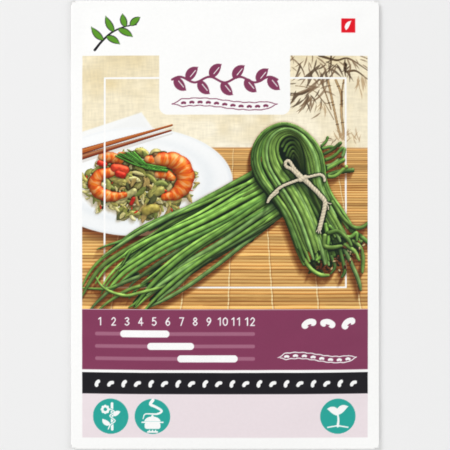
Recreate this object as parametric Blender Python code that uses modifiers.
"""A seed packet: one sheet of paper, folded and glued flat, with loose bean seeds inside.

The packet lies on its back. X runs across its front, Y up its front and Z out of its front.
The origin is under its middle, on the surface that it rests on. Everything is in metres.
"""

import math
import random

import bmesh
import bpy

# The packet
WIDTH = 0.110
HEIGHT = 0.160
PAPER = 0.00014  # thickness of the sheet
LAYER = 0.00028  # from one glued layer of paper to the next, centre to centre
EDGE_LAYERS = 3  # how far the front's edge lies above the lowest layer, in layers
PUFF = 0.0052  # how far the seeds lift the middle of the front above its edge
EDGE_INSET = 0.0005  # the front stays at its edge's height this far in
NOTCH = 0.0015  # cut out of the sheet at each corner, so that two folds never meet
NOTCH_SHARE = 1.0 - 2 * NOTCH / WIDTH  # where it starts, as a share of half the front's width
ROUNDING = 1e-6

# The flaps of the sheet
BOTTOM_FLAP = 0.015
TOP_FLAP = 0.020
SIDE_FLAP = 0.012
BACK_GAP = 0.0015  # from the back panel's free edge to the packet's side
STEP_START = 0.0005  # the back panel comes down to the surface from here past a flap's edge
STEP_LENGTH = 0.004

# How finely the sheet is divided
FRONT_COLUMNS = 16
FRONT_ROWS = 20
FOLD_STEPS = 6

# Glue
GLUE = 0.00006  # thickness of a dried line of glue
GLUE_MARGIN = 0.003  # from a flap's edges to its glue

# The seeds
SEED_COUNT = 28
SEED_LENGTH = 0.0092
SEED_WIDTH = 0.0053
SEED_THICKNESS = 0.0036
SEED_BEND = 0.0007  # how far its ends curve towards the scar
SEED_SCAR = 0.0004  # how deep the scar lies in its hollow side
SEED_ROOM = 0.0104  # least distance between the middles of two seeds
SEED_AREA = (0.028, -0.055, 0.018)  # half its width, its bottom and its top
SEED_GAP = 0.0003
SEED_SEGMENTS = 12
SEED_RINGS = 8
LUCK = 7

PAPER_WHITE = (0.93, 0.93, 0.92, 1.0)
GLUE_AMBER = (0.82, 0.74, 0.52, 1.0)
SEED_BLACK = (0.012, 0.011, 0.014, 1.0)


def clear_scene():
    for old in list(bpy.data.objects):
        bpy.data.objects.remove(old, do_unlink=True)


def new_collection(name):
    collection = bpy.data.collections.new(name)
    bpy.context.scene.collection.children.link(collection)
    return collection


def plain_material(name, colour, roughness):
    material = bpy.data.materials.new(name)
    material.use_nodes = True
    shader = material.node_tree.nodes["Principled BSDF"]
    shader.inputs["Base Color"].default_value = colour
    shader.inputs["Roughness"].default_value = roughness
    shader.inputs["Metallic"].default_value = 0.0
    return material


def even_steps(start, end, count):
    """count + 1 values from start to end."""
    return [start + (end - start) * i / count for i in range(count + 1)]


def smooth_step(t):
    t = min(max(t, 0.0), 1.0)
    return t * t * (3.0 - 2.0 * t)


# ---- The heights of the folded sheet, each the middle of the paper's thickness ----


def front_height(x, y):
    """The front bulges over the seeds, which have slid towards the bottom."""
    across = 1.0 - min(abs(x) / (WIDTH / 2 - EDGE_INSET), 1.0) ** 3
    up = 1.0 - min(abs(y) / (HEIGHT / 2 - EDGE_INSET), 1.0) ** 5
    fullness = 0.5 + 0.5 * smooth_step((0.070 - y) / 0.085)
    return PAPER / 2 + EDGE_LAYERS * LAYER + PUFF * across * up * fullness


def back_height(y):
    """The back lies on the surface, and rises onto the folded flaps at both ends."""
    from_bottom = (y + HEIGHT / 2 - BOTTOM_FLAP - STEP_START) / STEP_LENGTH
    from_top = (HEIGHT / 2 - TOP_FLAP - STEP_START - y) / STEP_LENGTH
    return PAPER / 2 + LAYER * (1.0 - smooth_step(min(from_bottom, from_top)))


def side_flap_height(y):
    return back_height(y) + LAYER


# ---- Where a point of the flat sheet goes when the sheet is folded ----


def side_point(side, part, t, y, lower_height):
    """A point past the front's left (-1) or right (+1) edge, on the fold or on the panel under it."""
    upper = front_height(WIDTH / 2, y)
    radius = (upper - lower_height) / 2
    fold_line = WIDTH / 2 - PAPER / 2 - radius
    if part == "fold":
        angle = math.pi * t
        x = fold_line + radius * math.sin(angle)
        return side * x, y, lower_height + radius * (1.0 + math.cos(angle))
    return side * (fold_line - t), y, lower_height


def end_point(end, part, t, x):
    """A point past the front's bottom (-1) or top (+1) edge, on the fold or on the flap under it."""
    lower = PAPER / 2
    radius = EDGE_LAYERS * LAYER / 2
    fold_line = HEIGHT / 2 - PAPER / 2 - radius
    if part == "fold":
        angle = math.pi * t
        y = fold_line + radius * math.sin(angle)
        return x, end * y, lower + radius * (1.0 + math.cos(angle))
    return x, end * (fold_line - t), lower


def front_x(share, y, lower_height):
    """The front's width ends where its side folds begin."""
    radius = (front_height(WIDTH / 2, y) - lower_height) / 2
    return share * (WIDTH / 2 - PAPER / 2 - radius)


def sheet_columns():
    """The lines that run up the sheet, as (region, place in it).

    They go from the back panel's free edge to the side flap's edge.
    """
    back_span = WIDTH - BACK_GAP - 2 * PAPER
    inner = even_steps(-NOTCH_SHARE, NOTCH_SHARE, FRONT_COLUMNS)
    columns = [("back", t) for t in even_steps(back_span, 0.0, 2)[:-1]]
    columns += [("left_fold", t) for t in even_steps(1.0, 0.0, FOLD_STEPS)[:-1]]
    columns += [("front", share) for share in [-1.0, *inner, 1.0]]
    columns += [("right_fold", t) for t in even_steps(0.0, 1.0, FOLD_STEPS)[1:]]
    columns += [("side_flap", SIDE_FLAP)]
    return columns


def sheet_rows():
    """The lines that run across the sheet, as (region, place in it).

    They go from the bottom flap's edge to the top flap's edge.
    """
    end_radius = EDGE_LAYERS * LAYER / 2
    edge = HEIGHT / 2 - PAPER / 2 - end_radius
    notch = HEIGHT / 2 - NOTCH
    bottom_step = -HEIGHT / 2 + BOTTOM_FLAP + STEP_START
    top_step = HEIGHT / 2 - TOP_FLAP - STEP_START
    heights = [-edge, -notch]
    heights += even_steps(bottom_step, bottom_step + STEP_LENGTH, 4)
    heights += even_steps(bottom_step + STEP_LENGTH, top_step - STEP_LENGTH, FRONT_ROWS)[1:]
    heights += even_steps(top_step - STEP_LENGTH, top_step, 4)[1:]
    heights += [notch, edge]
    rows = [("bottom_flap", BOTTOM_FLAP)]
    rows += [("bottom_fold", t) for t in even_steps(1.0, 0.0, FOLD_STEPS)[:-1]]
    rows += [("front", y) for y in heights]
    rows += [("top_fold", t) for t in even_steps(0.0, 1.0, FOLD_STEPS)[1:]]
    rows += [("top_flap", TOP_FLAP)]
    return rows


def folded(column, row):
    """The place in space of the sheet's point where this column crosses this row."""
    region, across = column
    band, along = row
    if band == "front":
        y = along
        lower_left, lower_right = back_height(y), side_flap_height(y)
        if region == "back":
            return side_point(-1, "panel", across, y, lower_left)
        if region == "left_fold":
            return side_point(-1, "fold", across, y, lower_left)
        if region == "right_fold":
            return side_point(1, "fold", across, y, lower_right)
        if region == "side_flap":
            return side_point(1, "panel", across, y, lower_right)
        x = front_x(across, y, lower_left if across < 0 else lower_right)
        return x, y, front_height(x, y)
    end = -1 if band.startswith("bottom") else 1
    x = across * WIDTH / 2 if region == "front" else 0.0
    return end_point(end, band.split("_")[1], along, x)


def is_paper(column_a, column_b, row_a, row_b):
    """Whether the sheet has paper in this cell of the grid. Its corners are cut away."""
    on_side = "front" not in (column_a[0], column_b[0])
    on_side = on_side or {column_a[0], column_b[0]} != {"front"}
    on_end = {row_a[0], row_b[0]} != {"front"}
    if on_side and on_end:
        return False
    if on_side:
        return max(abs(row_a[1]), abs(row_b[1])) <= HEIGHT / 2 - NOTCH + ROUNDING
    if on_end:
        return max(abs(column_a[1]), abs(column_b[1])) <= NOTCH_SHARE + ROUNDING
    return True


def make_envelope(collection, material):
    """The flat sheet is a grid. Its corners are cut away, and then every point is folded into place."""
    columns, rows = sheet_columns(), sheet_rows()
    sheet = bmesh.new()
    bmesh.ops.create_grid(
        sheet, x_segments=len(columns) - 1, y_segments=len(rows) - 1, size=1.0
    )
    sheet.verts.ensure_lookup_table()
    place = {}
    for vert in sheet.verts:
        i = round((vert.co.x + 1.0) / 2 * (len(columns) - 1))
        j = round((vert.co.y + 1.0) / 2 * (len(rows) - 1))
        place[vert] = (i, j)
    waste = []
    for face in sheet.faces:
        i_low = min(place[v][0] for v in face.verts)
        j_low = min(place[v][1] for v in face.verts)
        cell = (columns[i_low], columns[i_low + 1], rows[j_low], rows[j_low + 1])
        if not is_paper(*cell):
            waste.append(face)
    for vert, (i, j) in place.items():
        vert.co = folded(columns[i], rows[j])
    bmesh.ops.delete(sheet, geom=waste, context="FACES")
    mesh = bpy.data.meshes.new("envelope")
    sheet.to_mesh(mesh)
    sheet.free()
    mesh.materials.append(material)
    mesh.shade_smooth()
    envelope = bpy.data.objects.new("envelope", mesh)
    collection.objects.link(envelope)
    thickness = envelope.modifiers.new("Paper", "SOLIDIFY")
    thickness.thickness = PAPER
    thickness.offset = 0.0
    thickness.use_even_offset = True


def make_glue_line(collection, material, name, centre, size):
    """A flat line of dried glue between two layers of paper."""
    line = bmesh.new()
    bmesh.ops.create_cube(line, size=1.0)
    bmesh.ops.scale(line, vec=size, verts=line.verts)
    mesh = bpy.data.meshes.new(name)
    line.to_mesh(mesh)
    line.free()
    mesh.materials.append(material)
    glue = bpy.data.objects.new(name, mesh)
    glue.location = centre
    collection.objects.link(glue)


def make_glue_lines(collection, material):
    between = PAPER / 2 + LAYER / 2
    long_side = WIDTH - 2 * BACK_GAP - 2 * GLUE_MARGIN
    flaps = (("bottom_flap_glue", -1, BOTTOM_FLAP), ("top_flap_glue", 1, TOP_FLAP))
    for name, end, flap in flaps:
        depth = flap - 2 * GLUE_MARGIN
        centre = (0.0, end * (HEIGHT / 2 - flap / 2), between)
        make_glue_line(collection, material, name, centre, (long_side, depth, GLUE))
    low = -HEIGHT / 2 + BOTTOM_FLAP + STEP_START + STEP_LENGTH + GLUE_MARGIN
    high = HEIGHT / 2 - TOP_FLAP - STEP_START - STEP_LENGTH - GLUE_MARGIN
    centre = (WIDTH / 2 - BACK_GAP - SIDE_FLAP / 2, (low + high) / 2, between)
    size = (SIDE_FLAP - 2 * GLUE_MARGIN, high - low, GLUE)
    make_glue_line(collection, material, "side_seam_glue", centre, size)


def seed_mesh(material):
    """A kidney-shaped seed, lying flat, with its scar in the middle of its hollow side."""
    shape = bmesh.new()
    bmesh.ops.create_uvsphere(
        shape, u_segments=SEED_SEGMENTS, v_segments=SEED_RINGS, radius=0.5
    )
    bmesh.ops.scale(shape, vec=(SEED_WIDTH, SEED_THICKNESS, SEED_LENGTH), verts=shape.verts)
    for vert in shape.verts:
        across, up, along = vert.co
        reach = along / (SEED_LENGTH / 2)
        hollow = max(0.0, 1.0 - (3.0 * reach) ** 2) if across < 0 else 0.0
        across += SEED_SCAR * hollow - SEED_BEND * reach * reach
        vert.co = (along, across, up)
    bmesh.ops.recalc_face_normals(shape, faces=shape.faces)
    mesh = bpy.data.meshes.new("seed")
    shape.to_mesh(mesh)
    shape.free()
    mesh.materials.append(material)
    mesh.shade_smooth()
    return mesh


def seed_places(luck):
    """Scatters the seeds, then pushes apart the ones that lie too close."""
    half_width, bottom, top = SEED_AREA
    places = [
        [luck.uniform(-half_width, half_width), luck.uniform(bottom, top)]
        for _ in range(SEED_COUNT)
    ]
    for _ in range(400):
        for i, one in enumerate(places):
            for other in places[i + 1 :]:
                dx, dy = other[0] - one[0], other[1] - one[1]
                distance = max(math.hypot(dx, dy), 1e-6)
                push = (SEED_ROOM - distance) / 2
                if push > 0:
                    one[0] -= push * dx / distance
                    one[1] -= push * dy / distance
                    other[0] += push * dx / distance
                    other[1] += push * dy / distance
        for one in places:
            one[0] = min(max(one[0], -half_width), half_width)
            one[1] = min(max(one[1], bottom), top)
    return places


def make_seeds(collection, material):
    luck = random.Random(LUCK)
    mesh = seed_mesh(material)
    for number, (x, y) in enumerate(seed_places(luck), start=1):
        seed = bpy.data.objects.new(f"seed_{number:02d}", mesh)
        size = luck.uniform(0.92, 1.0)
        seed.scale = (size, size, size)
        seed.rotation_euler = (0.0, 0.0, luck.uniform(0.0, 2 * math.pi))
        seed.location = (x, y, PAPER + SEED_GAP + size * SEED_THICKNESS / 2)
        collection.objects.link(seed)


def main():
    clear_scene()
    packet = new_collection("seed_packet")
    make_envelope(packet, plain_material("coated_paper", PAPER_WHITE, 0.35))
    make_glue_lines(packet, plain_material("dried_glue", GLUE_AMBER, 0.5))
    make_seeds(packet, plain_material("seed_coat", SEED_BLACK, 0.25))


main()
